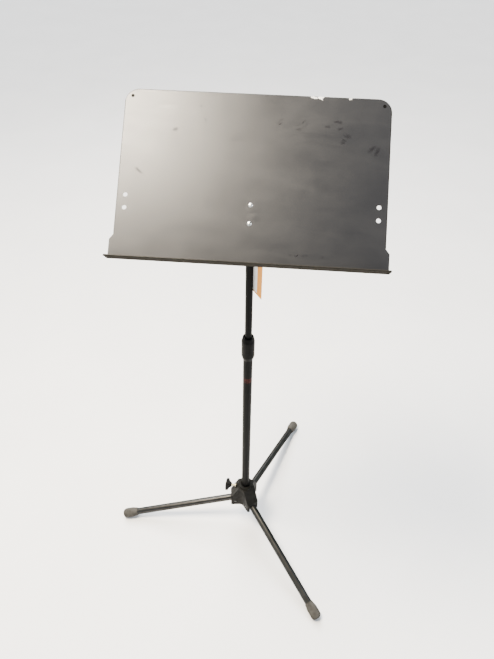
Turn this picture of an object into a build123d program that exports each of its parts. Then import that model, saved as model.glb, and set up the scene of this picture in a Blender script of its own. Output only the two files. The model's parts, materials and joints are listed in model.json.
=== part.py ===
from build123d import *
from math import cos, hypot, radians, sin, tan
import os

# A music stand: a sheet-steel desk with a ledge, on a two-part telescopic upright, on a
# three-legged base whose legs fold down. Millimetres, +Z up. The origin is on the floor,
# on the axis of the upright. The desk faces -Y and leans back towards +Y.

# Clearances
RUN_GAP = 0.05          # radial, where one round piece turns or slides in another
SNUG_GAP = 0.02         # radial, where a piece is pressed or glued into its neighbour
BODY_GAP = 0.3          # between pieces that move past each other

# Desk
DESK_WIDTH = 500.0
DESK_HEIGHT = 328.0     # from the bend to the top edge, along the sheet
DESK_SHEET = 1.2
DESK_TILT = 49.8        # leaning back from upright
DESK_CORNER = 26.0
FLANGE_DEPTH = 7.0      # edge turned back along the sides and the top
FLANGE_BEND = 2.0
EAR_OVERHANG = 6.5      # each side of the flat lower strip, past the flanged part
EAR_HEIGHT = 36.0
EAR_RAMP = 8.5
LEDGE_DEPTH = 34.0
LEDGE_BEND = 2.0
LEDGE_CORNER = 8.0
HEM_WIDTH = 7.0
SIDE_HOLE_DIA = 8.5
SIDE_HOLE_INSET = 16.3
SIDE_HOLE_HEIGHTS = (97.0, 121.5)
CORNER_HOLE_DIA = 6.5
CORNER_HOLE_INSET = 14.3
PLUG_HEAD_DIA = 10.0    # corner plugs, behind the sheet
PLUG_HEAD_RISE = 2.5
PLUG_RECESS = 0.5       # of the plug's face, in the hole
RIVET_HEIGHT = 96.2     # middle of the two rivets, above the bend
RIVET_PITCH = 35.0
RIVET_SHANK_DIA = 4.2
RIVET_HEAD_DIA = 8.6
RIVET_HEAD_RISE = 1.9

# Desk bracket and tilt pivot
PIVOT_RISE = 19.0       # above the top of the upper tube
PIVOT_SETBACK = 38.0    # behind the front of the sheet
BRACKET_SHEET = 2.5
BRACKET_LENGTH = 64.0
BRACKET_EYE = 11.0
TILT_BOLT_DIA = 6.0
TILT_BOLT_HEAD = 10.0   # across flats, also the nut
TILT_BOLT_HEAD_RISE = 4.0
LOCK_NUT_RISE = 6.5
LOCK_NUT_COLLAR = 2.0   # the round part of the nut's height
BOLT_TAIL = 2.0
WASHER_DIA = 14.0
WASHER_SHEET = 1.4
FRICTION_DIA = 20.0
FRICTION_SHEET = 1.8
HEAD_EYE_RADIUS = 11.0
HEAD_EYE_WIDTH = 23.0
HEAD_NECK_WIDTH = 16.0
HEAD_NECK_DEPTH = 15.0
HEAD_COLLAR_LIP = 1.75  # past the upper tube
HEAD_COLLAR_RISE = 6.0
HEAD_PLUG_LENGTH = 26.0
HEAD_PIN_DIA = 3.0
HEAD_PIN_DROP = 12.0    # cross pin, below the top of the upper tube

# Upright
UPPER_TUBE_DIA = 16.5
LOWER_TUBE_DIA = 23.0
TUBE_WALL = 1.2
UPPER_TUBE_LENGTH = 712.0
LOWER_TUBE_LENGTH = 686.3
UPPER_TUBE_SHOWN = 342.0    # above the top of the lower tube
PLUG_LENGTH = 20.0
PLUG_FLANGE = 4.0
PLUG_FLANGE_GAP = 0.75  # radial, in the lower tube
BUSH_LENGTH = 30.0
STOP_RING_GAP = 0.55    # radial, in the lower tube
STOP_RING_RISE = 3.0

# Height clutch
SLEEVE_LENGTH = 73.0
SLEEVE_GRIP = 24.0      # the part of its length below the top of the lower tube
SLEEVE_WALL = 4.1
SLEEVE_RIM_WALL = 1.7
SLEEVE_FOOT_WALL = 0.9
SLEEVE_TAPER = 12.0
SLEEVE_SHOULDER = 13.0
SLEEVE_ROUND = 9.0
SLEEVE_BEVEL = 1.6
COLLET_NECK = 70.0
COLLET_FLANGE = 6.0
COLLET_HEADROOM = 2.0   # between its fingers and the wiper ring
COLLET_SLOT = 1.6
COLLET_SLOTS = 4
WIPER_DEPTH = 6.0       # below the rim of the sleeve
WIPER_SHEET = 3.0

# Paper tag on the upper tube
TAG_DROP = 155.0        # its lower edge, below the top of the upper tube
TAG_HEIGHT = 100.0
TAG_BAND = 20.0
TAG_REACH = 33.0
TAG_SHEET = 0.8
TAG_AZIMUTH = -56.0

# Legs and feet
LEG_TURN = 6.6          # of the base, under the desk
LEG_NAMES = ("left", "back", "front")
LEG_SLOPE = 14.1        # below level
LEG_TUBE_DIA = 20.5
LEG_LENGTH = 362.0      # from the pivot to the tube's end
LEG_PLUG_LENGTH = 24.0
LEG_PIN_DIA = 6.0
LEG_PIN_HEAD_DIA = 10.0
LEG_PIN_HEAD_RISE = 1.6
FOOT_GRIP = 36.0        # of the cap's length, on the tube
FOOT_NOSE = 12.5        # of the cap's length, past the tube's end
FOOT_WALL = 4.75
FOOT_LIP_WALL = 1.3
FOOT_TAPER = 17.0
FOOT_ROUND = 14.0       # where the taper meets the barrel
FOOT_NOSE_ROUND = 11.0
FOOT_LIP_ROUND = 0.6
FOOT_SOLE = 1.25        # how far the floor's flat is cut into the barrel

# Hub, measured from the pivots of the legs
HUB_SKIRT = 17.5        # below the pivots
HUB_RISE = 72.5         # above the pivots, to the top of the arms' roofs
HUB_END_RISE = 19.5     # above the pivots, to the roofs' outer ends
HUB_CORE_WALL = 9.95    # between the lower tube and the legs' heels
LEG_PLAY = 1.0          # on each side of a leg, in its slot
HUB_CHEEK = 7.6         # beside each slot
HUB_LIP = 13.5          # past the pivots
HUB_VALLEY = 14.0
HUB_ARM_CORNER = 3.5
HUB_EDGE = 2.0
ROOF_SHOULDER = 3.0     # from the valleys' ends to the start of the roofs
COLLAR_RISE = 5.0
COLLAR_WALL = 10.5
COLLAR_LIP = 3.0
END_CAP_LIP = 3.5
END_CAP_FLANGE = 5.0
END_CAP_EDGE = 1.0

# Clamp screw in the hub's collar
SCREW_AZIMUTH = 177.0
SCREW_DROP = 14.0       # below the top of the arms' roofs
SCREW_DIA = 8.0
SCREW_BOSS_DIA = 17.0
SCREW_BOSS_LENGTH = 18.5    # from the lower tube
INSERT_WALL = 1.8
PAD_DIA = 9.0
PAD_LENGTH = 3.0
KNOB_STANDOFF = 13.0    # from the boss
KNOB_LENGTH = 20.0
KNOB_SPAN = 41.0
KNOB_HUB_DIA = 12.5
KNOB_SHEET = 7.0
KNOB_TIP_LENGTH = 10.0  # of the wing's outer part, along the screw
KNOB_CROWN = 2.5        # of its outer edge
KNOB_HOLLOW = 3.0       # of its flanks
KNOB_TIP_ROUND = 3.0
KNOB_EDGE = 2.2
STUD_IN_KNOB = 11.0

# Radii and places that follow from the sizes above
UPPER_R = UPPER_TUBE_DIA / 2
LOWER_R = LOWER_TUBE_DIA / 2
LOWER_BORE = LOWER_R - TUBE_WALL
LEG_R = LEG_TUBE_DIA / 2
LEG_PIVOT_RADIUS = LOWER_R + HUB_CORE_WALL + BODY_GAP + LEG_R
LEG_SPACING = 360 / len(LEG_NAMES)
FOOT_R = LEG_R + FOOT_WALL
LEG_END_HEIGHT = FOOT_R * cos(radians(LEG_SLOPE)) - FOOT_SOLE
LEG_PIVOT_HEIGHT = LEG_END_HEIGHT + LEG_LENGTH * sin(radians(LEG_SLOPE))
SLOT_HALF = LEG_R + LEG_PLAY
HUB_ARM_WIDTH = 2 * (SLOT_HALF + HUB_CHEEK)
VALLEY_ANGLE = radians(LEG_SPACING / 2)
VALLEY_END = HUB_ARM_WIDTH / 2 / tan(VALLEY_ANGLE) + HUB_VALLEY / tan(VALLEY_ANGLE)
ROOF_START = VALLEY_END + ROOF_SHOULDER
HUB_BOTTOM = LEG_PIVOT_HEIGHT - HUB_SKIRT
HUB_TOP = LEG_PIVOT_HEIGHT + HUB_RISE
HUB_REACH = LEG_PIVOT_RADIUS + HUB_LIP
COLLAR_TOP = HUB_TOP + COLLAR_RISE
COLLAR_RADIUS = LOWER_R + COLLAR_WALL
LOWER_TUBE_END = HUB_BOTTOM - BODY_GAP
LOWER_TUBE_TOP = LOWER_TUBE_END + LOWER_TUBE_LENGTH
UPPER_TUBE_TOP = LOWER_TUBE_TOP + UPPER_TUBE_SHOWN
UPPER_TUBE_END = UPPER_TUBE_TOP - UPPER_TUBE_LENGTH
PIVOT_HEIGHT = UPPER_TUBE_TOP + PIVOT_RISE
SLEEVE_END = LOWER_TUBE_TOP - SLEEVE_GRIP
SLEEVE_TOP = SLEEVE_END + SLEEVE_LENGTH
SLEEVE_BORE = LOWER_R + RUN_GAP
WIPER_BOTTOM = SLEEVE_TOP - WIPER_DEPTH - WIPER_SHEET
SCREW_HEIGHT = HUB_TOP - SCREW_DROP
SCREW_BOSS_END = LOWER_R + SCREW_BOSS_LENGTH
KNOB_START = SCREW_BOSS_END + KNOB_STANDOFF
KNOB_END = KNOB_START + KNOB_LENGTH
INSERT_R = SCREW_DIA / 2 + INSERT_WALL
INSERT_START = LOWER_R + PAD_LENGTH
EAR_INNER = HEAD_EYE_WIDTH / 2 + BODY_GAP + FRICTION_SHEET
EAR_OUTER = EAR_INNER + BRACKET_SHEET
BOLT_SEAT = EAR_OUTER + WASHER_SHEET
DESK_FRAME = (
    Pos(0, 0, PIVOT_HEIGHT)
    * Rot(90 - DESK_TILT, 0, 0)
    * Pos(0, -RIVET_HEIGHT, PIVOT_SETBACK)
)
SCREW_FRAME = Rot(0, 0, SCREW_AZIMUTH) * Pos(0, 0, SCREW_HEIGHT)
FROM_BASE = (Align.CENTER, Align.CENTER, Align.MIN)
FAR = 2 * (DESK_WIDTH + LEG_LENGTH)     # longer than anything that a cutting block has to clear


def post(radius, low, high):
    """A cylinder on the upright's axis."""
    return Pos(0, 0, low) * Cylinder(radius, high - low, align=FROM_BASE)


def pipe(outer, inner, low, high):
    """A ring or tube on the upright's axis."""
    return post(outer, low, high) - post(inner, low, high)


def bar(radius, start, end):
    """A cylinder along the local X axis."""
    return Pos(start, 0, 0) * Rot(0, 90, 0) * Cylinder(radius, end - start, align=FROM_BASE)


def cross_bar(radius, half_length):
    """A cylinder along the local Y axis, centred."""
    return Rot(90, 0, 0) * Cylinder(radius, 2 * half_length)


def hexagon_bar(flats, start, end):
    """A hexagonal prism along the local X axis."""
    profile = RegularPolygon(flats / 2, 6, major_radius=False)
    return Pos(start, 0, 0) * Rot(0, 90, 0) * extrude(profile, end - start)


def turned(points):
    """A solid of revolution about Z, from (radius, height) corners."""
    return revolve(make_face(Plane.XZ * Polyline(points, close=True)), Axis.Z)


# ---------------------------------------------------------------- desk


def desk_tray():
    """The flanged upper part of the sheet: a shallow tray that opens to the back."""
    low = EAR_HEIGHT + EAR_RAMP
    rise = DESK_HEIGHT - low
    outline = Pos(0, low + rise / 2) * Rectangle(DESK_WIDTH, rise)
    outline = fillet(outline.vertices().group_by(Axis.Y)[-1], DESK_CORNER)
    tray = extrude(outline, -FLANGE_DEPTH)
    front = tray.edges().group_by(Axis.Z)[-1]
    tray = fillet(front.filter_by(lambda edge: edge.center().Y > low + DESK_SHEET), FLANGE_BEND)
    inside = Pos(0, low + rise / 2 - DESK_SHEET, -DESK_SHEET) * Rectangle(
        DESK_WIDTH - 2 * DESK_SHEET, rise
    )
    inside = fillet(inside.vertices().group_by(Axis.Y)[-1], DESK_CORNER - DESK_SHEET)
    return tray - extrude(inside, -FLANGE_DEPTH)


def desk_strip():
    """The flat lower part of the sheet, whose ears reach past the flanges."""
    half = DESK_WIDTH / 2
    ear = half + EAR_OVERHANG
    ramp_top = EAR_HEIGHT + EAR_RAMP
    right = [(ear, LEDGE_BEND), (ear, EAR_HEIGHT), (half, ramp_top)]
    left = [(-x, y) for x, y in reversed(right)]
    inner = half - FLANGE_DEPTH
    top = [(inner, ramp_top + DESK_SHEET), (-inner, ramp_top + DESK_SHEET)]
    return extrude(make_face(Polyline(right + top + left, close=True)), -DESK_SHEET)


def ledge():
    """The ledge, bent square from the strip, with its front edge folded back under."""
    sheet = DESK_SHEET
    nose = LEDGE_DEPTH - sheet
    bend = LEDGE_BEND
    outer = bend + sheet
    diagonal = cos(radians(45))
    edges = Curve() + [
        Line((-sheet, bend), (0, bend)),
        ThreePointArc((0, bend), (bend * (1 - diagonal), bend * (1 - diagonal)), (bend, 0)),
        Line((bend, 0), (nose, 0)),
        ThreePointArc((nose, 0), (LEDGE_DEPTH, -sheet), (nose, -2 * sheet)),
        Line((nose, -2 * sheet), (LEDGE_DEPTH - HEM_WIDTH, -2 * sheet)),
        Line((LEDGE_DEPTH - HEM_WIDTH, -2 * sheet), (LEDGE_DEPTH - HEM_WIDTH, -sheet)),
        Line((LEDGE_DEPTH - HEM_WIDTH, -sheet), (bend, -sheet)),
        ThreePointArc((bend, -sheet), (bend - outer * diagonal, bend - outer * diagonal), (-sheet, bend)),
    ]
    width = DESK_WIDTH + 2 * EAR_OVERHANG
    right_end = Plane((width / 2, 0, 0), x_dir=(0, 0, 1), z_dir=(-1, 0, 0))
    strip = extrude(right_end * make_face(edges), width)
    reach = LEDGE_DEPTH + sheet
    plan = Pos(0, LEDGE_DEPTH - reach / 2) * Rectangle(width, reach)
    plan = fillet(plan.vertices().group_by(Axis.Y)[-1], LEDGE_CORNER)
    from_below = Plane((0, 0, 0), x_dir=(1, 0, 0), z_dir=(0, -1, 0))
    return strip & extrude(from_below * plan, LEDGE_DEPTH, both=True)


def desk_holes():
    """Two holes near each side, one at each top corner and the two for the rivets."""
    side_x = DESK_WIDTH / 2 - SIDE_HOLE_INSET
    corner_x = DESK_WIDTH / 2 - CORNER_HOLE_INSET
    depth = 2 * FLANGE_DEPTH
    cuts = []
    for hand in (-1, 1):
        for height in SIDE_HOLE_HEIGHTS:
            cuts.append(Pos(hand * side_x, height) * Cylinder(SIDE_HOLE_DIA / 2, depth))
        corner = Pos(hand * corner_x, DESK_HEIGHT - CORNER_HOLE_INSET)
        cuts.append(corner * Cylinder(CORNER_HOLE_DIA / 2, depth))
        rivet = Pos(0, RIVET_HEIGHT + hand * RIVET_PITCH / 2)
        cuts.append(rivet * Cylinder(RIVET_SHANK_DIA / 2 + SNUG_GAP, depth))
    return cuts


def corner_plugs():
    """The rubber plugs pushed into the two corner holes from behind."""
    stem = Pos(0, 0, -DESK_SHEET) * Cylinder(
        CORNER_HOLE_DIA / 2 - SNUG_GAP, DESK_SHEET - PLUG_RECESS, align=FROM_BASE
    )
    head = Pos(0, 0, -DESK_SHEET) * Rot(180, 0, 0) * dome(PLUG_HEAD_DIA, PLUG_HEAD_RISE)
    plug = stem + head
    x = DESK_WIDTH / 2 - CORNER_HOLE_INSET
    y = DESK_HEIGHT - CORNER_HOLE_INSET
    return Compound([DESK_FRAME * Pos(hand * x, y, 0) * plug for hand in (-1, 1)])


def desk_panel():
    return DESK_FRAME * (desk_tray() + desk_strip() + ledge() - desk_holes())


def desk_bracket():
    """A channel riveted behind the sheet; its two ears carry the tilt bolt."""
    back = -DESK_SHEET
    half = BRACKET_LENGTH / 2
    eye = Pos(0, -PIVOT_SETBACK) * Circle(BRACKET_EYE)
    web = Polyline(
        (-half, back), (half, back), (BRACKET_EYE, -PIVOT_SETBACK), (-BRACKET_EYE, -PIVOT_SETBACK),
        close=True,
    )
    side = eye + make_face(web)
    upright = Plane((0, RIVET_HEIGHT, 0), x_dir=(0, 1, 0), z_dir=(1, 0, 0))
    block = extrude(upright * side, EAR_OUTER, both=True)
    corners = block.edges().filter_by(Axis.Y).group_by(Axis.Z)[-1]
    block = fillet(corners, BRACKET_SHEET)
    gap = Box(2 * EAR_INNER, 2 * BRACKET_LENGTH, FAR, align=(Align.CENTER, Align.CENTER, Align.MAX))
    block -= Pos(0, RIVET_HEIGHT, back - BRACKET_SHEET) * gap
    bore = Pos(0, RIVET_HEIGHT, -PIVOT_SETBACK) * bar(
        TILT_BOLT_DIA / 2 + SNUG_GAP, -EAR_OUTER - BODY_GAP, EAR_OUTER + BODY_GAP
    )
    block -= bore
    for hand in (-1, 1):
        hole = Cylinder(RIVET_SHANK_DIA / 2 + SNUG_GAP, 2 * PIVOT_SETBACK)
        block -= Pos(0, RIVET_HEIGHT + hand * RIVET_PITCH / 2) * hole
    return DESK_FRAME * block


def dome(diameter, rise):
    """A low domed head standing on the local XY plane."""
    radius = diameter / 2
    sphere = (radius * radius + rise * rise) / (2 * rise)
    ball = Pos(0, 0, rise - sphere) * Sphere(sphere)
    return ball & Pos(0, 0, rise / 2) * Box(2 * radius, 2 * radius, rise)


def bracket_rivets():
    """Two domed rivets that hold the sheet to its bracket."""
    grip = DESK_SHEET + BRACKET_SHEET
    shank = Pos(0, 0, -grip) * Cylinder(RIVET_SHANK_DIA / 2, grip, align=FROM_BASE)
    tail = Pos(0, 0, -grip) * Rot(180, 0, 0) * dome(RIVET_HEAD_DIA, RIVET_HEAD_RISE)
    rivet = dome(RIVET_HEAD_DIA, RIVET_HEAD_RISE) + shank + tail
    places = [RIVET_HEIGHT - RIVET_PITCH / 2, RIVET_HEIGHT + RIVET_PITCH / 2]
    return Compound([DESK_FRAME * Pos(0, place, 0) * rivet for place in places])


# ---------------------------------------------------------------- tilt pivot


def at_pivot(shape):
    return Pos(0, 0, PIVOT_HEIGHT) * shape


def tilt_bolt():
    shank_end = BOLT_SEAT + LOCK_NUT_RISE + BOLT_TAIL
    head = hexagon_bar(TILT_BOLT_HEAD, -BOLT_SEAT - TILT_BOLT_HEAD_RISE, -BOLT_SEAT)
    return at_pivot(bar(TILT_BOLT_DIA / 2, -BOLT_SEAT, shank_end) + head)


def lock_nut():
    """A hexagon nut with a round locking collar on its outer side."""
    top = BOLT_SEAT + LOCK_NUT_RISE
    nut = hexagon_bar(TILT_BOLT_HEAD, BOLT_SEAT, top - LOCK_NUT_COLLAR)
    nut += bar(TILT_BOLT_HEAD / 2 - BODY_GAP, top - LOCK_NUT_COLLAR, top)
    return at_pivot(nut - bar(TILT_BOLT_DIA / 2 + SNUG_GAP, 0, FAR))


def disc_pair(diameter, inner_face, thickness):
    """A washer on each side of the tilt head."""
    disc = bar(diameter / 2, inner_face, inner_face + thickness)
    disc -= bar(TILT_BOLT_DIA / 2 + SNUG_GAP, 0, FAR)
    return Compound([at_pivot(disc), at_pivot(Rot(0, 0, 180) * disc)])


def tilt_head():
    """The block that closes the upper tube and holds the tilt bolt across it."""
    eye = at_pivot(bar(HEAD_EYE_RADIUS, -HEAD_EYE_WIDTH / 2, HEAD_EYE_WIDTH / 2))
    collar_top = UPPER_TUBE_TOP + HEAD_COLLAR_RISE
    neck = Pos(0, 0, UPPER_TUBE_TOP + HEAD_COLLAR_RISE / 2) * Box(
        HEAD_NECK_WIDTH, HEAD_NECK_DEPTH, PIVOT_RISE - HEAD_COLLAR_RISE / 2, align=FROM_BASE
    )
    collar = post(UPPER_R + HEAD_COLLAR_LIP, UPPER_TUBE_TOP, collar_top)
    collar = chamfer(collar.edges(), HEAD_COLLAR_LIP / 2)
    plug = post(UPPER_R - TUBE_WALL - SNUG_GAP, UPPER_TUBE_TOP - HEAD_PLUG_LENGTH, collar_top)
    head = eye + neck + collar + plug - head_pin_hole()
    return head - at_pivot(bar(TILT_BOLT_DIA / 2 + RUN_GAP, -FAR, FAR))


def head_pin_hole():
    return Pos(0, 0, UPPER_TUBE_TOP - HEAD_PIN_DROP) * cross_bar(HEAD_PIN_DIA / 2 + SNUG_GAP, FAR)


def head_pin():
    """The cross pin that fixes the tilt head in the upper tube."""
    return Pos(0, 0, UPPER_TUBE_TOP - HEAD_PIN_DROP) * cross_bar(HEAD_PIN_DIA / 2, UPPER_R)


# ---------------------------------------------------------------- upright


def upper_tube():
    return pipe(UPPER_R, UPPER_R - TUBE_WALL, UPPER_TUBE_END, UPPER_TUBE_TOP) - head_pin_hole()


def upper_tube_plug():
    """The plug whose flange carries the guide bush on the upper tube's lower end."""
    low = UPPER_TUBE_END - PLUG_FLANGE
    spigot = post(UPPER_R - TUBE_WALL - SNUG_GAP, low, UPPER_TUBE_END + PLUG_LENGTH)
    return spigot + post(LOWER_BORE - PLUG_FLANGE_GAP, low, UPPER_TUBE_END)


def guide_bush():
    """The bush that slides in the lower tube, and in which the upper tube turns."""
    low = UPPER_TUBE_END + BODY_GAP
    return pipe(LOWER_BORE - RUN_GAP, UPPER_R + RUN_GAP, low, low + BUSH_LENGTH)


def bush_stop_ring():
    low = UPPER_TUBE_END + BUSH_LENGTH + 2 * BODY_GAP
    return pipe(LOWER_BORE - STOP_RING_GAP, UPPER_R + SNUG_GAP, low, low + STOP_RING_RISE)


def lower_tube():
    return pipe(LOWER_R, LOWER_BORE, LOWER_TUBE_END, LOWER_TUBE_TOP)


def tube_end_cap():
    """The cap that closes the lower tube and stops it under the hub."""
    spigot = post(LOWER_BORE - SNUG_GAP, LOWER_TUBE_END - END_CAP_FLANGE, LOWER_TUBE_END + PLUG_LENGTH)
    flange = post(LOWER_R + END_CAP_LIP, LOWER_TUBE_END - END_CAP_FLANGE, LOWER_TUBE_END)
    return spigot + chamfer(flange.edges().group_by(Axis.Z)[0], END_CAP_EDGE)


def clutch_collet():
    """The slotted bush in the top of the lower tube that grips the upper tube."""
    fingers_low = LOWER_TUBE_TOP + COLLET_FLANGE
    fingers_top = WIPER_BOTTOM - COLLET_HEADROOM
    shape = post(LOWER_BORE - SNUG_GAP, LOWER_TUBE_TOP - COLLET_NECK, LOWER_TUBE_TOP)
    shape += post(LOWER_R, LOWER_TUBE_TOP, fingers_low)
    shape += post(LOWER_R - BODY_GAP, fingers_low, fingers_top)
    shape -= post(UPPER_R + RUN_GAP, LOWER_TUBE_TOP - COLLET_NECK, fingers_top)
    slot = Pos(0, 0, fingers_low) * Box(
        LOWER_TUBE_DIA, COLLET_SLOT, SLEEVE_LENGTH, align=(Align.MIN, Align.CENTER, Align.MIN)
    )
    for turn in range(COLLET_SLOTS):
        shape -= Rot(0, 0, turn * 360 / COLLET_SLOTS) * slot
    return shape


def clutch_sleeve():
    """The waisted grip that is twisted to close the collet."""
    widest = LOWER_R + SLEEVE_WALL
    rim = LOWER_R + SLEEVE_RIM_WALL
    corners = [
        (SLEEVE_BORE, SLEEVE_END),
        (LOWER_R + SLEEVE_FOOT_WALL, SLEEVE_END),
        (widest, SLEEVE_END + SLEEVE_TAPER),
        (widest, SLEEVE_TOP - SLEEVE_SHOULDER),
        (rim, SLEEVE_TOP - SLEEVE_BEVEL),
        (rim - SLEEVE_BEVEL / 2, SLEEVE_TOP),
        (SLEEVE_BORE, SLEEVE_TOP),
    ]
    sleeve = turned(corners)
    waist = [SLEEVE_END + SLEEVE_TAPER, SLEEVE_TOP - SLEEVE_SHOULDER]
    rims = sleeve.edges().filter_by(GeomType.CIRCLE)
    soft = rims.filter_by(lambda edge: min(abs(edge.center().Z - z) for z in waist) < BODY_GAP)
    return fillet(soft, SLEEVE_ROUND)


def wiper_ring():
    """The ring inside the sleeve's rim that keeps dust out of the collet."""
    top = WIPER_BOTTOM + WIPER_SHEET
    return pipe(SLEEVE_BORE - SNUG_GAP, UPPER_R + BODY_GAP, WIPER_BOTTOM, top)


def tag_label():
    """A stiff paper label: a band round the upper tube and a flag that stands off it."""
    inner = UPPER_R + SNUG_GAP
    bottom = UPPER_TUBE_TOP - TAG_DROP
    top = bottom + TAG_HEIGHT
    band = pipe(inner + TAG_SHEET, inner, top - TAG_BAND, top)
    flag = Pos(inner + TAG_SHEET / 2, 0, bottom) * Rot(0, 0, TAG_AZIMUTH) * Box(
        TAG_REACH, TAG_SHEET, TAG_HEIGHT, align=(Align.MIN, Align.CENTER, Align.MIN)
    )
    return band + (flag - post(inner, bottom, top))


# ---------------------------------------------------------------- base


def leg_azimuth(index):
    return 180 + LEG_TURN - LEG_SPACING * index


def leg_frame(index):
    """Local X runs down the leg from its pivot, local Y along the pivot pin."""
    spoke = Rot(0, 0, leg_azimuth(index))
    return spoke * Pos(LEG_PIVOT_RADIUS, 0, LEG_PIVOT_HEIGHT) * Rot(0, LEG_SLOPE, 0)


def rounded_heel(radius, end):
    """A bar from the pivot outwards, whose inner end is rounded about the pivot pin."""
    return bar(radius, 0, end) + (bar(radius, -radius, 0) & cross_bar(radius, radius))


def leg_tube(index):
    bore = LEG_R - TUBE_WALL
    tube = rounded_heel(LEG_R, LEG_LENGTH) - bar(bore, -LEG_TUBE_DIA, LEG_LENGTH)
    return leg_frame(index) * (tube - cross_bar(LEG_PIN_DIA / 2 + RUN_GAP, LEG_TUBE_DIA))


def leg_plug(index):
    """The moulded plug in the leg's inner end, which turns on the pivot pin."""
    plug = rounded_heel(LEG_R - TUBE_WALL - SNUG_GAP, LEG_PLUG_LENGTH)
    return leg_frame(index) * (plug - cross_bar(LEG_PIN_DIA / 2 + RUN_GAP, LEG_TUBE_DIA))


def foot_cap(index):
    """A barrel-shaped rubber cap with a round nose, flat where it meets the floor."""
    lip = LEG_R + FOOT_LIP_WALL
    start = LEG_LENGTH - FOOT_GRIP
    end = LEG_LENGTH + FOOT_NOSE
    cap = turned([(0, start), (lip, start), (FOOT_R, start + FOOT_TAPER), (FOOT_R, end), (0, end)])
    for rim, rounding in ((-1, FOOT_NOSE_ROUND), (1, FOOT_ROUND), (0, FOOT_LIP_ROUND)):
        rims = cap.edges().filter_by(GeomType.CIRCLE).sort_by(Axis.Z)
        cap = fillet(rims[rim], rounding)
    cap -= post(LEG_R + SNUG_GAP, start, LEG_LENGTH + SNUG_GAP)
    floor = Box(FAR, FAR, FAR, align=(Align.CENTER, Align.CENTER, Align.MAX))
    return leg_frame(index) * Rot(0, 90, 0) * cap - floor


def hub_plan():
    """Three square arms from the centre, with hollow corners between them."""
    plan = Sketch()
    for index in range(len(LEG_NAMES)):
        arm = Pos(HUB_REACH / 2, 0) * Rectangle(HUB_REACH, HUB_ARM_WIDTH)
        plan += Rot(0, 0, leg_azimuth(index)) * arm
    plan = fillet(sorted_by_radius(plan)[:len(LEG_NAMES)], HUB_VALLEY)
    return fillet(sorted_by_radius(plan)[-2 * len(LEG_NAMES):], HUB_ARM_CORNER)


def sorted_by_radius(sketch):
    return sorted(sketch.vertices(), key=lambda vertex: hypot(vertex.X, vertex.Y))


def hub_roof(index):
    """What is cut away above an arm, so that its roof slopes down from the collar."""
    drop = HUB_RISE - HUB_END_RISE
    end = 2 * HUB_REACH - ROOF_START
    wedge = Polyline(
        (ROOF_START, HUB_TOP), (end, HUB_TOP - 2 * drop), (end, HUB_TOP + drop),
        (ROOF_START, HUB_TOP + drop), close=True,
    )
    solid = extrude(make_face(Plane.XZ * wedge), HUB_ARM_WIDTH, both=True)
    return Rot(0, 0, leg_azimuth(index)) * solid


def leg_slot(index):
    """The room that a leg needs in its arm, from spread to folded straight down."""
    reach = LEG_R + BODY_GAP
    slope = radians(LEG_SLOPE)
    top = (reach * sin(slope), reach * cos(slope))
    out = (top[0] + FAR * cos(slope), top[1] - FAR * sin(slope))
    sweep = Polyline(top, out, (out[0], -FAR), (-reach, -FAR), (-reach, 0), (0, 0), close=True)
    section = make_face(sweep) + Circle(reach)
    cut = extrude(Plane.XZ * section, SLOT_HALF, both=True)
    return Rot(0, 0, leg_azimuth(index)) * Pos(LEG_PIVOT_RADIUS, 0, LEG_PIVOT_HEIGHT) * cut


def pin_seat(index):
    """The hole for a pivot pin and the pockets for its two heads."""
    half = HUB_ARM_WIDTH / 2
    hole = cross_bar(LEG_PIN_DIA / 2 + SNUG_GAP, half)
    for hand in (-1, 1):
        pocket = Pos(0, hand * half, 0) * cross_bar(LEG_PIN_HEAD_DIA / 2 + SNUG_GAP, LEG_PIN_HEAD_RISE)
        hole += pocket
    return Rot(0, 0, leg_azimuth(index)) * Pos(LEG_PIVOT_RADIUS, 0, LEG_PIVOT_HEIGHT) * hole


def hub_collar():
    """The ring round the lower tube, with a sloping lip at its mouth."""
    collar = post(COLLAR_RADIUS, HUB_BOTTOM, COLLAR_TOP)
    rim = collar.edges().group_by(Axis.Z)[-1]
    collar = fillet(rim, HUB_EDGE)
    mouth = Pos(0, 0, COLLAR_TOP - COLLAR_LIP) * Cone(
        LOWER_R, LOWER_R + COLLAR_LIP, COLLAR_LIP, align=FROM_BASE
    )
    return collar - mouth


def hub_body():
    """The moulded hub: a collar over three roofed arms that each straddle a leg."""
    block = Pos(0, 0, HUB_BOTTOM) * extrude(hub_plan(), HUB_TOP - HUB_BOTTOM)
    legs = range(len(LEG_NAMES))
    for index in legs:
        block -= hub_roof(index)
    slanted = block.edges().filter_by(Axis.Z, reverse=True)
    slanted = slanted.filter_by(lambda edge: abs((edge @ 1 - edge @ 0).Z) > HUB_EDGE)
    block = fillet(slanted, HUB_EDGE)
    boss = SCREW_FRAME * bar(SCREW_BOSS_DIA / 2, LOWER_R, SCREW_BOSS_END)
    hub = block + hub_collar() + boss
    for index in legs:
        hub -= leg_slot(index)
        hub -= pin_seat(index)
    hub -= SCREW_FRAME * bar(INSERT_R + SNUG_GAP, INSERT_START, FAR)
    hub -= SCREW_FRAME * bar(PAD_DIA / 2 + SNUG_GAP, 0, INSERT_START)
    return hub - post(LOWER_R + RUN_GAP, HUB_BOTTOM, COLLAR_TOP)


def leg_pins():
    """Three headed pivot pins, one across each arm."""
    half = HUB_ARM_WIDTH / 2
    pin = cross_bar(LEG_PIN_DIA / 2, half - LEG_PIN_HEAD_RISE)
    for hand in (-1, 1):
        head = Rot(-90 * hand, 0, 0) * dome(LEG_PIN_HEAD_DIA, LEG_PIN_HEAD_RISE)
        pin += Pos(0, hand * (half - LEG_PIN_HEAD_RISE), 0) * head
    place = Pos(LEG_PIVOT_RADIUS, 0, LEG_PIVOT_HEIGHT)
    return Compound([Rot(0, 0, leg_azimuth(i)) * place * pin for i in range(len(LEG_NAMES))])


# ---------------------------------------------------------------- clamp screw


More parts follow.
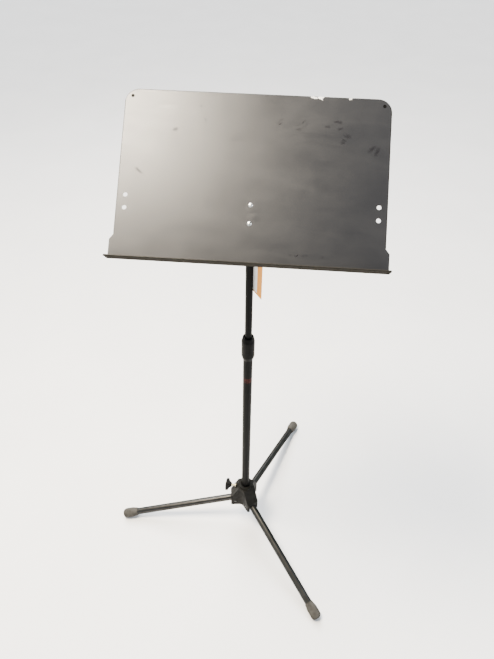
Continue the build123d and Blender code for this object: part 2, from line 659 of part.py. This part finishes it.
def screw_insert():
    """The threaded metal insert in the collar's boss."""
    insert = bar(INSERT_R, INSERT_START, SCREW_BOSS_END) - bar(SCREW_DIA / 2 + RUN_GAP, 0, FAR)
    return SCREW_FRAME * insert


def clamp_pad():
    """The slug that the screw presses against the lower tube."""
    pad = bar(PAD_DIA / 2, 0, INSERT_START - RUN_GAP)
    return SCREW_FRAME * pad - post(LOWER_R + RUN_GAP, 0, FAR)


def clamp_stud():
    return SCREW_FRAME * bar(SCREW_DIA / 2, INSERT_START, KNOB_START + STUD_IN_KNOB)


def wing_plan():
    """The wing's outline: a fan with hollow flanks and a crowned outer edge."""
    half = KNOB_SPAN / 2
    neck = KNOB_HUB_DIA / 2
    shoulder = KNOB_END - KNOB_TIP_LENGTH
    middle = (KNOB_START + shoulder) / 2
    hollow = (neck + half) / 2 - KNOB_HOLLOW
    rim = KNOB_END - KNOB_CROWN
    outline = Curve() + [
        Line((KNOB_START, neck), (KNOB_START, -neck)),
        ThreePointArc((KNOB_START, -neck), (middle, -hollow), (shoulder, -half)),
        Line((shoulder, -half), (rim, -half)),
        ThreePointArc((rim, -half), (KNOB_END, 0), (rim, half)),
        Line((rim, half), (shoulder, half)),
        ThreePointArc((shoulder, half), (middle, hollow), (KNOB_START, neck)),
    ]
    plan = make_face(outline)
    tips = plan.vertices().filter_by(lambda vertex: vertex.X > middle)
    return fillet(tips, KNOB_TIP_ROUND)


def wing_knob():
    """A wing that widens away from the hub, moulded on the stud."""
    plate = extrude(wing_plan(), KNOB_SHEET / 2, both=True)
    plate = fillet(plate.edges().filter_by(Axis.Z, reverse=True), KNOB_EDGE)
    knob = plate + bar(KNOB_HUB_DIA / 2, KNOB_START, KNOB_START + STUD_IN_KNOB + KNOB_EDGE)
    return SCREW_FRAME * (knob - bar(SCREW_DIA / 2 + SNUG_GAP, 0, KNOB_START + STUD_IN_KNOB))


def build():
    """Every piece of the stand by its name."""
    parts = {
        "desk_panel": desk_panel(),
        "corner_plugs": corner_plugs(),
        "desk_bracket": desk_bracket(),
        "bracket_rivets": bracket_rivets(),
        "tilt_bolt": tilt_bolt(),
        "tilt_lock_nut": lock_nut(),
        "tilt_washers": disc_pair(WASHER_DIA, EAR_OUTER, WASHER_SHEET),
        "friction_discs": disc_pair(FRICTION_DIA, HEAD_EYE_WIDTH / 2 + BODY_GAP, FRICTION_SHEET),
        "tilt_head": tilt_head(),
        "tilt_head_pin": head_pin(),
        "upper_tube": upper_tube(),
        "upper_tube_plug": upper_tube_plug(),
        "bush_stop_ring": bush_stop_ring(),
        "tag_label": tag_label(),
        "guide_bush": guide_bush(),
        "lower_tube": lower_tube(),
        "tube_end_cap": tube_end_cap(),
        "clutch_collet": clutch_collet(),
        "clutch_sleeve": clutch_sleeve(),
        "clutch_wiper_ring": wiper_ring(),
        "hub_body": hub_body(),
        "leg_pivot_pins": leg_pins(),
        "clamp_screw_insert": screw_insert(),
        "clamp_pad": clamp_pad(),
        "clamp_screw_stud": clamp_stud(),
        "wing_knob": wing_knob(),
    }
    for index, name in enumerate(LEG_NAMES):
        parts[f"leg_tube_{name}"] = leg_tube(index)
        parts[f"leg_plug_{name}"] = leg_plug(index)
        parts[f"foot_cap_{name}"] = foot_cap(index)
    return parts


if __name__ == "__main__":
    os.makedirs("parts", exist_ok=True)
    for node, shape in build().items():
        export_step(shape, f"parts/{node}.step")
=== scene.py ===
import json
import math
import random

import bmesh
import bpy
from mathutils import Matrix, Vector


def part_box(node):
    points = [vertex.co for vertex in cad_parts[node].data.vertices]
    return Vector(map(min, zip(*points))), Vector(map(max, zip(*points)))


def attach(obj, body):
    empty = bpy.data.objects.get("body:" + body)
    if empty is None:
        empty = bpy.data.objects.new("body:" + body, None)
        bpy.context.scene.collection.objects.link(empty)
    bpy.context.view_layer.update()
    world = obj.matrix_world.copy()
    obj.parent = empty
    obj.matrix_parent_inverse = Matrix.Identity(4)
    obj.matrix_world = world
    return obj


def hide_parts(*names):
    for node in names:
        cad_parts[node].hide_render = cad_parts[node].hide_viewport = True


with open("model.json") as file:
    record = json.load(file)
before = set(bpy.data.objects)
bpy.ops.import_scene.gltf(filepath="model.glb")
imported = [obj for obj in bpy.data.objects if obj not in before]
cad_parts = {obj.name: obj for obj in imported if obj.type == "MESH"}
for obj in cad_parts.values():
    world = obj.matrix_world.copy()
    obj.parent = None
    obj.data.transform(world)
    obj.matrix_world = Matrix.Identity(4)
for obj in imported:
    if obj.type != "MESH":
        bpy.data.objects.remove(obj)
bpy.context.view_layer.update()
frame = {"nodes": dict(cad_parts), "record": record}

# Camera: a hand-held phone in front of the stand, above the desk
CAMERA_AZIMUTH = 3.61       # degrees round the upright, from -Y towards +X
CAMERA_DISTANCE = 0.9058    # from the upright's axis, level
CAMERA_HEIGHT = 1.7257
CAMERA_PITCH = 44.32        # degrees below level
CAMERA_HEADING = 0.21       # degrees past the upright's axis
CAMERA_ROLL = 0.96
CAMERA_LENS = 30.6          # mm, on a 36 mm long side
CAMERA_SENSOR = 36.0
CAMERA_CLIP = 0.02          # nothing nearer is drawn

# Lights: places and targets in metres, powers in watts, the sun's in watts per square metre
WARM = (1.0, 0.88, 0.7)
COOL = (0.86, 0.93, 1.0)
WHITE = (1, 1, 1)
KEY_PLACE = (-0.84, -0.12, 1.5)     # from the desk's middle
KEY_TARGET = (-0.2, 0, 0)           # from the desk's middle
KEY_SIZE = (0.8, 0.8)
KEY_POWER = 250.0
HUB_PLACE = (0, 0, 0.1)             # what the side and back lights aim at
FILL_PLACE = (-1.5, -1.5, 1.3)
FILL_TARGET = (0, 0, 0.6)           # from the hub
FILL_SIZE = (0.6, 1.2)
FILL_POWER = 5.0
SIDE_PLACE = (2.0, -0.2, 1.6)
SIDE_SIZE = (0.4, 1.8)
SIDE_POWER = 30.0
BACK_PLACE = (-0.6, 2.4, 1.9)
BACK_SIZE = (2.2, 0.5)
BACK_POWER = 30.0
SUN_DIRECTION = (0.25, -0.6, -0.76)
SUN_ANGLE = 40.0                    # degrees that the sun's disc spans
SUN_POWER = 6.8
FLOOR_SIZE = 60.0

# Surroundings: heights are the upward part of a direction, from 0 level to 1 straight up
BACKDROP_TOP = 0.3
CEILING_START = 0.65
BACKDROP_LIGHT = 1.2
CEILING_LIGHT = 0.1

# Where the painted marks are
BAND_CENTRE = 0.674         # dark red band on the lower tube, above the floor
BAND_HALF = 0.0075
BAND_EDGE = 0.001           # over which the band fades
TAG_BORDER = 0.018
TAG_LINE = 0.0045
TAG_EDGE = 0.0003           # over which the tag's orange fades
MARK_DEPTH = 0.006          # how far a mark reaches through the sheet

# How surfaces vary: the stretch of a noise's values that is used
NOISE_SPAN = (0.3, 0.7)
STAIN_SPAN = (0.35, 0.7)

# The desk's turned edges and ledge: cosines of the angle from the face's normal at which the
# sheet counts as fully turned, and as flat
TURNED_SPAN = (0.93, 0.995)
FACE_SPECULAR = 0.5
TURNED_SPECULAR = 0.02
TURNED_ROUGHNESS = 0.95
SMUDGE_GLOSS = 0.1          # how much roughness a mark takes away or adds
RUB_HAZE = 0.3
POLISH_GLOSS = 0.07
CHIP_ROUGHNESS = 0.6

# Thread of the clamp screw
THREAD_PITCH = 0.00125
THREAD_DEPTH = 0.0007
THREAD_BEVEL = 0.001        # at both ends of the rod
THREAD_ROWS = 8             # of points along one pitch
THREAD_STEPS = 32           # of points round the rod

# Wear on the desk's face, scattered over patches. A patch has its middle (across from the desk's
# middle, up from the ledge), how far it reaches each way, how many marks it has, and a mark's
# usual half length, half width and slant in degrees
WEAR_SEED = 7
WEAR_SIZE = (0.6, 1.4)      # smallest and largest mark, as shares of the usual one
WEAR_SLANT = 30             # degrees to either side
WEAR_STRENGTH = (0.4, 1.0)
SMUDGES = (
    (0.090, 0.270, 0.015, 0.010, 5, 0.010, 0.0015, 45),
    (0.035, 0.275, 0.020, 0.010, 4, 0.006, 0.0020, 30),
    (0.145, 0.270, 0.015, 0.010, 5, 0.006, 0.0035, 10),
    (0.170, 0.245, 0.010, 0.010, 4, 0.006, 0.0040, 0),
    (0.220, 0.230, 0.015, 0.005, 2, 0.009, 0.0040, 45),
    (0.110, 0.025, 0.040, 0.003, 6, 0.005, 0.0030, 0),
)
RUBS = (
    (-0.210, 0.175, 0.010, 0.010, 4, 0.007, 0.0015, -45),
    (-0.075, 0.250, 0.005, 0.005, 2, 0.005, 0.0010, 45),
    (-0.120, 0.275, 0.050, 0.040, 3, 0.006, 0.0030, 0),
)
POLISH = (
    (-0.205, 0.150, 0.010, 0.010, 3, 0.009, 0.0015, -45),
    (-0.185, 0.295, 0.020, 0.003, 2, 0.022, 0.0025, 10),
    (-0.175, 0.012, 0.000, 0.000, 1, 0.045, 0.0010, 0),
)
CHIPS = (
    (0.115, 0.325, 0.015, 0.001, 3, 0.006, 0.0020, 0),
    (0.170, 0.325, 0.005, 0.001, 2, 0.003, 0.0010, 0),
)
DENTS = (
    (0.005, 0.090, 0.010, 0.020, 3, 0.013, 0.0090, 0),
)


# ---------------------------------------------------------------- shader helper


class Shader:
    """A new material, and the few node groups that every surface here is made of."""

    def __init__(self, name, color, roughness, metallic=0.0, specular=0.5):
        self.material = bpy.data.materials.new(name)
        self.material.use_nodes = True
        self.tree = self.material.node_tree
        self.surface = self.tree.nodes["Principled BSDF"]
        self.surface.inputs["Base Color"].default_value = (*color, 1)
        self.surface.inputs["Roughness"].default_value = roughness
        self.surface.inputs["Metallic"].default_value = metallic
        self.surface.inputs["Specular IOR Level"].default_value = specular
        self.place = self.node("ShaderNodeTexCoord").outputs["Object"]
        axes = self.node("ShaderNodeSeparateXYZ")
        self.link(self.place, axes.inputs["Vector"])
        self.z = axes.outputs["Z"]

    def node(self, kind, **values):
        made = self.tree.nodes.new(kind)
        for key, value in values.items():
            setattr(made, key, value)
        return made

    def link(self, source, target):
        self.tree.links.new(source, target)

    def feed(self, socket, value):
        """Links a socket, or sets its constant."""
        if isinstance(value, bpy.types.NodeSocket):
            self.link(value, socket)
        elif isinstance(value, tuple):
            socket.default_value = (*value, 1)
        else:
            socket.default_value = value

    def stretch(self, scale):
        """The object's coordinates, scaled differently along each axis."""
        mapping = self.node("ShaderNodeMapping")
        mapping.inputs["Scale"].default_value = scale
        self.link(self.place, mapping.inputs["Vector"])
        return mapping.outputs["Vector"]

    def noise(self, scale, detail=3.0, roughness=0.5, vector=None, distortion=0.0):
        made = self.node("ShaderNodeTexNoise")
        made.inputs["Scale"].default_value = scale
        made.inputs["Detail"].default_value = detail
        made.inputs["Roughness"].default_value = roughness
        made.inputs["Distortion"].default_value = distortion
        self.link(vector or self.place, made.inputs["Vector"])
        return made.outputs["Fac"]

    def spread(self, value, low, high, to_low=0.0, to_high=1.0):
        """value's stretch from low to high, spread over to_low to to_high."""
        made = self.node("ShaderNodeMapRange")
        made.inputs["From Min"].default_value = low
        made.inputs["From Max"].default_value = high
        made.inputs["To Min"].default_value = to_low
        made.inputs["To Max"].default_value = to_high
        self.link(value, made.inputs["Value"])
        return made.outputs["Result"]

    def math(self, operation, first, second):
        made = self.node("ShaderNodeMath", operation=operation)
        self.feed(made.inputs[0], first)
        self.feed(made.inputs[1], second)
        return made.outputs["Value"]

    def along(self, direction, origin):
        """How far a point lies along a direction from an origin."""
        made = self.node("ShaderNodeVectorMath", operation="DOT_PRODUCT")
        self.link(self.place, made.inputs[0])
        made.inputs[1].default_value = direction
        return self.math("SUBTRACT", made.outputs["Value"], Vector(direction).dot(origin))

    def shaken(self, scale, reach):
        """The object's coordinates shaken by a fine noise, for marks whose edges aren't clean."""
        grain = self.node("ShaderNodeTexNoise")
        grain.inputs["Scale"].default_value = scale
        self.link(self.place, grain.inputs["Vector"])
        shift = self.node("ShaderNodeVectorMath", operation="SUBTRACT")
        self.link(grain.outputs["Color"], shift.inputs[0])
        shift.inputs[1].default_value = (0.5, 0.5, 0.5)
        moved = self.node("ShaderNodeVectorMath", operation="MULTIPLY_ADD")
        self.link(shift.outputs["Vector"], moved.inputs[0])
        moved.inputs[1].default_value = (reach, reach, reach)
        self.link(self.place, moved.inputs[2])
        return moved.outputs["Vector"]

    def marks(self, rows, sheet, vector, core):
        """The strongest of several oval marks on a sheet, each fading out from its core."""
        total = 0.0
        for across, up, half_length, half_width, slant, strength in rows:
            turned = sheet @ Matrix.Rotation(math.radians(slant), 4, "Z")
            oval = self.node("ShaderNodeMapping", vector_type="TEXTURE")
            oval.inputs["Location"].default_value = sheet @ Vector((across, up, 0))
            oval.inputs["Rotation"].default_value = turned.to_euler()
            oval.inputs["Scale"].default_value = (half_length, half_width, MARK_DEPTH)
            self.link(vector, oval.inputs["Vector"])
            away = self.node("ShaderNodeVectorMath", operation="LENGTH")
            self.link(oval.outputs["Vector"], away.inputs[0])
            mark = self.spread(away.outputs["Value"], core, 1.0, strength, 0.0)
            total = self.math("MAXIMUM", mark, total)
        return total

    def near(self, value, centre, half, soft):
        """1 within half of the centre, falling to 0 over soft."""
        away = self.math("ABSOLUTE", self.math("SUBTRACT", value, centre), 0.0)
        return self.spread(away, half, half + soft, 1.0, 0.0)

    def mix(self, factor, first, second):
        """Two colours mixed by a factor; each is a colour or a socket."""
        made = self.node("ShaderNodeMix", data_type="RGBA")
        self.feed(made.inputs["Factor"], factor)
        colors = [socket for socket in made.inputs if socket.type == "RGBA"]
        self.feed(colors[0], first)
        self.feed(colors[1], second)
        return [socket for socket in made.outputs if socket.type == "RGBA"][0]

    def color(self, source):
        self.link(source, self.surface.inputs["Base Color"])

    def rough(self, source):
        self.link(source, self.surface.inputs["Roughness"])

    def specular(self, source):
        self.link(source, self.surface.inputs["Specular IOR Level"])

    def bump(self, height, strength, distance):
        made = self.node("ShaderNodeBump")
        made.inputs["Strength"].default_value = strength
        made.inputs["Distance"].default_value = distance
        self.link(height, made.inputs["Height"])
        for earlier in self.surface.inputs["Normal"].links:
            self.link(earlier.from_socket, made.inputs["Normal"])
        self.link(made.outputs["Normal"], self.surface.inputs["Normal"])


# ---------------------------------------------------------------- materials


def desk_sheet():
    """The desk face's own axes: across, up the sheet from the ledge, and out of its front."""
    mounts = {row["name"]: row for row in frame["record"]["mounts"]}
    hole = mounts["side_hole_left_low"]
    ledge = mounts["ledge_face"]
    front = Vector(hole["axis"])
    up = Vector(ledge["axis"])
    origin = up * up.dot(ledge["pos_m"]) + front * front.dot(hole["pos_m"])
    axes = Matrix((up.cross(front), up, front)).transposed().to_4x4()
    return Matrix.Translation(origin) @ axes


def scattered(draw, patches):
    """Rows for Shader.marks: the marks of several patches, each of its own place and size."""
    rows = []
    for across, up, reach, rise, count, length, width, slant in patches:
        for _ in range(count):
            place = (across + draw.uniform(-reach, reach), up + draw.uniform(-rise, rise))
            size = (length * draw.uniform(*WEAR_SIZE), width * draw.uniform(*WEAR_SIZE))
            turn = slant + draw.uniform(-WEAR_SLANT, WEAR_SLANT)
            rows.append((*place, *size, turn, draw.uniform(*WEAR_STRENGTH)))
    return rows


def desk_paint():
    """Satin black powder coat, with the smears, scuffs and chips of a handled sheet, and a painted brownish
    floor reflection on its turned edges and ledge.
    """
    sheet = desk_sheet()
    draw = random.Random(WEAR_SEED)
    paint = Shader("desk_paint", (0.02, 0.02, 0.02), 0.4, specular=FACE_SPECULAR)
    shaken = paint.shaken(260.0, 0.005)
    smudge = paint.marks(scattered(draw, SMUDGES), sheet, shaken, 0.3)
    rub = paint.marks(scattered(draw, RUBS), sheet, shaken, 0.45)
    polish = paint.marks(scattered(draw, POLISH), sheet, shaken, 0.3)
    chip = paint.marks(scattered(draw, CHIPS), sheet, paint.shaken(420.0, 0.004), 0.85)
    facing = paint.node("ShaderNodeVectorMath", operation="DOT_PRODUCT")
    paint.link(paint.node("ShaderNodeTexCoord").outputs["Normal"], facing.inputs[0])
    facing.inputs[1].default_value = sheet.col[2].to_3d()
    flat = paint.math("ABSOLUTE", facing.outputs["Value"], 0.0)
    turned = paint.spread(flat, *TURNED_SPAN, 1.0, 0.0)

    cloud = paint.noise(4.0, 4.0, 0.55)
    black = paint.mix(paint.spread(cloud, *STAIN_SPAN), (0.009, 0.01, 0.013), (0.015, 0.016, 0.019))
    # Painted reflection: the turned edges and the ledge's underside get a lighter brownish tint that stands
    # in for the brown floor they reflect
    black = paint.mix(turned, black, (0.019, 0.017, 0.0135))
    black = paint.mix(smudge, black, (0.008, 0.008, 0.01))
    paint.color(paint.mix(chip, black, (0.85, 0.85, 0.84)))

    smear = paint.noise(9.0, 5.0, 0.6, distortion=1.0)
    stroke = paint.noise(30.0, 4.0, 0.6, paint.stretch((0.35, 1.0, 1.6)), 0.6)
    smeared = paint.spread(smear, *NOISE_SPAN, 0.31, 0.36)
    stroked = paint.spread(stroke, 0.4, 0.7, 0, 0.035)
    rough = paint.math("ADD", smeared, stroked)
    rough = paint.math("SUBTRACT", rough, paint.math("MULTIPLY", smudge, SMUDGE_GLOSS))
    rough = paint.math("ADD", rough, paint.math("MULTIPLY", rub, RUB_HAZE))
    rough = paint.math("SUBTRACT", rough, paint.math("MULTIPLY", polish, POLISH_GLOSS))
    rough = paint.math("MAXIMUM", rough, paint.math("MULTIPLY", turned, TURNED_ROUGHNESS))
    paint.rough(paint.math("MAXIMUM", rough, paint.math("MULTIPLY", chip, CHIP_ROUGHNESS)))
    paint.specular(paint.spread(turned, 0.0, 1.0, FACE_SPECULAR, TURNED_SPECULAR))
    paint.bump(paint.marks(scattered(draw, DENTS), sheet, paint.place, 0.0), 1.0, 0.0003)
    paint.bump(paint.noise(900.0, 2.0), 0.1, 0.0004)
    return paint.material


def tube_paint():
    """Black paint on drawn tube, faintly streaked along its length, with a dark red band."""
    paint = Shader("tube_paint", (0.012, 0.012, 0.012), 0.42, specular=0.02)
    streak = paint.noise(60.0, 3.0, 0.5, paint.stretch((1.0, 1.0, 0.08)))
    black = paint.mix(paint.spread(streak, *NOISE_SPAN), (0.004, 0.004, 0.004), (0.007, 0.007, 0.0065))
    worn = paint.spread(paint.noise(260.0, 4.0, 0.6), 0.38, 0.52)
    band = paint.near(paint.z, BAND_CENTRE, BAND_HALF, BAND_EDGE)
    paint.color(paint.mix(paint.math("MULTIPLY", band, worn), black, (0.04, 0.01, 0.008)))
    paint.rough(paint.spread(paint.noise(25.0, 4.0), *NOISE_SPAN, 0.33, 0.45))
    paint.bump(paint.noise(1400.0, 2.0), 0.08, 0.0003)
    return paint.material


def leg_paint():
    """Dark satin finish on the legs: a soft sheen along the middle, and darker flanks."""
    paint = Shader("leg_paint", (0.045, 0.043, 0.041), 0.34, metallic=1.0)
    paint.surface.inputs["Specular Tint"].default_value = (0.05, 0.05, 0.05, 1)
    rub = paint.noise(38.0, 5.0, 0.6)
    paint.color(paint.mix(paint.spread(rub, *STAIN_SPAN), (0.036, 0.035, 0.033), (0.053, 0.052, 0.05)))
    paint.rough(paint.spread(paint.noise(45.0, 3.0), *NOISE_SPAN, 0.3, 0.4))
    paint.bump(paint.noise(500.0, 3.0), 0.03, 0.0002)
    return paint.material


def moulded(name, dark, light, roughness, grain):
    """Moulded plastic or rubber with a fine grain and a mottled surface."""
    plastic = Shader(name, dark, roughness, specular=0.025)
    mottle = plastic.noise(55.0, 5.0, 0.6)
    plastic.color(plastic.mix(plastic.spread(mottle, *STAIN_SPAN), dark, light))
    rough = plastic.noise(120.0, 3.0)
    plastic.rough(plastic.spread(rough, *NOISE_SPAN, roughness - 0.08, roughness + 0.08))
    plastic.bump(plastic.noise(grain, 3.0), 0.25, 0.0004)
    return plastic.material


def metal(name, dark, light, roughness):
    """Plated metal with fine turning marks."""
    plate = Shader(name, light, roughness, metallic=1.0)
    stain = plate.noise(180.0, 4.0, 0.6)
    plate.color(plate.mix(plate.spread(stain, *STAIN_SPAN), light, dark))
    plate.rough(plate.spread(plate.noise(400.0, 3.0), *NOISE_SPAN, roughness - 0.07, roughness + 0.1))
    plate.bump(plate.noise(1500.0, 2.0), 0.1, 0.0002)
    return plate.material


def tag_paper():
    """White label paper with an orange outer border and a thin orange line at its foot."""
    low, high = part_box("tag_label")
    tip = Vector((high.x, low.y, low.z))
    outward = Vector((tip.x, tip.y, 0)).normalized()
    paper = Shader("tag_paper", (0.85, 0.83, 0.8), 0.6)
    fibre = paper.noise(300.0, 4.0)
    white = paper.mix(paper.spread(fibre, *NOISE_SPAN), (0.74, 0.72, 0.68), (0.86, 0.84, 0.8))
    border = paper.spread(paper.along(tuple(outward), tip), -TAG_BORDER, -TAG_BORDER + TAG_EDGE)
    foot = paper.spread(paper.z, low.z + TAG_LINE, low.z + TAG_LINE + TAG_EDGE, 1.0, 0.0)
    paper.color(paper.mix(paper.math("MAXIMUM", border, foot), white, (0.75, 0.27, 0.0)))
    paper.bump(fibre, 0.1, 0.0002)
    return paper.material


def paint_nodes():
    """Gives every CAD node the surface that its material slot names."""
    surfaces = {
        "desk_paint": desk_paint(),
        "tube_paint": tube_paint(),
        "leg_paint": leg_paint(),
        "hub_plastic": moulded("hub_plastic", (0.006, 0.006, 0.0055), (0.013, 0.013, 0.012), 0.5, 700.0),
        "grip_plastic": moulded("grip_plastic", (0.003, 0.003, 0.003), (0.007, 0.007, 0.007), 0.42, 900.0),
        "foot_rubber": moulded("foot_rubber", (0.035, 0.033, 0.029), (0.07, 0.067, 0.061), 0.6, 500.0),
        "nylon": moulded("nylon", (0.05, 0.05, 0.05), (0.08, 0.08, 0.078), 0.45, 900.0),
        "bright_steel": metal("bright_steel", (0.6, 0.59, 0.55), (0.82, 0.81, 0.77), 0.28),
        "dark_steel": metal("dark_steel", (0.03, 0.03, 0.03), (0.06, 0.06, 0.06), 0.4),
        "pale_brass": metal("pale_brass", (0.7, 0.64, 0.4), (0.9, 0.86, 0.66), 0.22),
        "tag_paper": tag_paper(),
    }
    # Near-black plugs fill the desk's corner holes, darker than the feet, so the holes read as dark dots
    near_black_plug = moulded("near_black_plug", (0.002, 0.002, 0.002), (0.005, 0.005, 0.005), 0.6, 500.0)
    for row in frame["record"]["subparts"]:
        mesh = frame["nodes"][row["node"]].data
        mesh.materials.clear()
        mesh.materials.append(surfaces[row["material_slot"]])
    frame["nodes"]["corner_plugs"].data.materials[0] = near_black_plug


# ---------------------------------------------------------------- pieces


def clamp_screw_axes():
    """The clamp screw's own axes, from the upright: out along the screw, level, and up."""
    joints = {row["name"]: row for row in frame["record"]["behaviour"]["joints"]}
    out = Vector(joints["clamp_screw_turn"]["axis"])
    place = Vector(joints["clamp_screw_turn"]["pos_m"])
    up = Vector((0, 0, 1))
    axes = Matrix((out, up.cross(out), up)).transposed().to_4x4()
    return Matrix.Translation(place - out * out.dot(place)) @ axes


def thread_radius(crest, along, turn, inset):
    """The rod's radius at a place along it and round it, with a bevel near its ends."""
    groove = abs((along / THREAD_PITCH - turn) % 1.0 - 0.5) * 2
    return crest - max(THREAD_DEPTH * groove, THREAD_BEVEL - inset)


def clamp_screw_thread():
    """The clamp screw's rod with its thread cut into it, in place of the smooth rod."""
    axes = clamp_screw_axes()
    rod = frame["nodes"]["clamp_screw_stud"].data.vertices
    places = [(axes.inverted() @ point.co).x for point in rod]
    start, end = min(places), max(places)
    low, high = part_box("clamp_screw_stud")
    crest = (high.z - low.z) / 2
    rows = round((end - start) / THREAD_PITCH * THREAD_ROWS)
    shape = bmesh.new()
    rings = []
    for row in range(rows + 1):
        along = start + (end - start) * row / rows
        ring = []
        for step in range(THREAD_STEPS):
            turn = step / THREAD_STEPS
            radius = thread_radius(crest, along, turn, min(along - start, end - along))
            angle = 2 * math.pi * turn
            spot = Vector((along, radius * math.cos(angle), radius * math.sin(angle)))
            ring.append(shape.verts.new(axes @ spot))
        rings.append(ring)
    for first, second in zip(rings, rings[1:]):
        for step in range(THREAD_STEPS):
            following = (step + 1) % THREAD_STEPS
            shape.faces.new((first[step], first[following], second[following], second[step]))
    shape.faces.new(rings[0])
    shape.faces.new(rings[-1])
    bmesh.ops.recalc_face_normals(shape, faces=shape.faces)
    mesh = bpy.data.meshes.new("clamp_screw_thread")
    shape.to_mesh(mesh)
    shape.free()
    mesh.materials.append(bpy.data.materials["pale_brass"])
    piece = bpy.data.objects.new("clamp_screw_thread", mesh)
    bpy.context.scene.collection.objects.link(piece)
    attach(piece, "clamp_screw")
    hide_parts("clamp_screw_stud")


# ---------------------------------------------------------------- scene


def stage():
    """A pale floor that runs back well past the view."""
    bpy.ops.mesh.primitive_plane_add(size=FLOOR_SIZE, location=(0, 0, 0))
    floor = bpy.context.active_object
    floor.name = "floor"
    pale = Shader("floor_pale", (0.9, 0.9, 0.9), 0.9, specular=0.1)
    pale.color(pale.mix(pale.spread(pale.noise(3.0, 4.0), *NOISE_SPAN), (0.9, 0.9, 0.9), (0.94, 0.94, 0.94)))
    floor.data.materials.append(pale.material)


def area_light(name, place, target, size, power, color):
    data = bpy.data.lights.new(name, "AREA")
    data.shape = "RECTANGLE"
    data.size, data.size_y = size
    data.energy = power
    data.color = color
    lamp = bpy.data.objects.new(name, data)
    bpy.context.scene.collection.objects.link(lamp)
    lamp.location = place
    lamp.rotation_euler = (target - place).to_track_quat("-Z", "Y").to_euler()


def sun_light(name, direction, angle, power, color):
    """Even light from far away, which keeps the floor pale as far as it is seen."""
    data = bpy.data.lights.new(name, "SUN")
    data.angle = math.radians(angle)
    data.energy = power
    data.color = color
    lamp = bpy.data.objects.new(name, data)
    bpy.context.scene.collection.objects.link(lamp)
    lamp.rotation_euler = Vector(direction).to_track_quat("-Z", "Y").to_euler()


def surroundings(color):
    """A pale backdrop all round, level with the floor, that fades to a dim ceiling."""
    world = bpy.data.worlds.new("studio")
    bpy.context.scene.world = world
    world.use_nodes = True
    tree = world.node_tree
    backdrop = tree.nodes["Background"]
    backdrop.inputs["Color"].default_value = (*color, 1)
    axes = tree.nodes.new("ShaderNodeSeparateXYZ")
    tree.links.new(tree.nodes.new("ShaderNodeTexCoord").outputs["Generated"], axes.inputs["Vector"])
    fade = tree.nodes.new("ShaderNodeMapRange")
    fade.interpolation_type = "SMOOTHSTEP"
    fade.inputs["From Min"].default_value = BACKDROP_TOP
    fade.inputs["From Max"].default_value = CEILING_START
    fade.inputs["To Min"].default_value = BACKDROP_LIGHT
    fade.inputs["To Max"].default_value = CEILING_LIGHT
    tree.links.new(axes.outputs["Z"], fade.inputs["Value"])
    tree.links.new(fade.outputs["Result"], backdrop.inputs["Strength"])


def lights():
    """A warm soft light high on the left, weaker ones at the sides, and a sun from behind."""
    low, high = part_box("desk_panel")
    desk = (low + high) / 2
    hub = Vector(HUB_PLACE)
    key_place = desk + Vector(KEY_PLACE)
    key_target = desk + Vector(KEY_TARGET)
    area_light("key", key_place, key_target, KEY_SIZE, KEY_POWER, WARM)
    area_light("fill", Vector(FILL_PLACE), hub + Vector(FILL_TARGET), FILL_SIZE, FILL_POWER, COOL)
    area_light("side", Vector(SIDE_PLACE), hub, SIDE_SIZE, SIDE_POWER, COOL)
    area_light("back", Vector(BACK_PLACE), hub, BACK_SIZE, BACK_POWER, WHITE)
    sun_light("sun", SUN_DIRECTION, SUN_ANGLE, SUN_POWER, WHITE)
    surroundings(COOL)


def camera():
    data = bpy.data.cameras.new("camera")
    data.lens = CAMERA_LENS
    data.sensor_width = CAMERA_SENSOR
    data.clip_start = CAMERA_CLIP
    eye = bpy.data.objects.new("camera", data)
    bpy.context.scene.collection.objects.link(eye)
    around = math.radians(CAMERA_AZIMUTH)
    aside = CAMERA_DISTANCE * math.sin(around)
    eye.location = (aside, -CAMERA_DISTANCE * math.cos(around), CAMERA_HEIGHT)
    heading = Matrix.Rotation(around + math.radians(CAMERA_HEADING), 4, "Z")
    pitch = Matrix.Rotation(math.radians(90 - CAMERA_PITCH), 4, "X")
    roll = Matrix.Rotation(math.radians(CAMERA_ROLL), 4, "Z")
    eye.rotation_euler = (heading @ pitch @ roll).to_euler()
    bpy.context.scene.camera = eye


paint_nodes()
clamp_screw_thread()
stage()
lights()
camera()
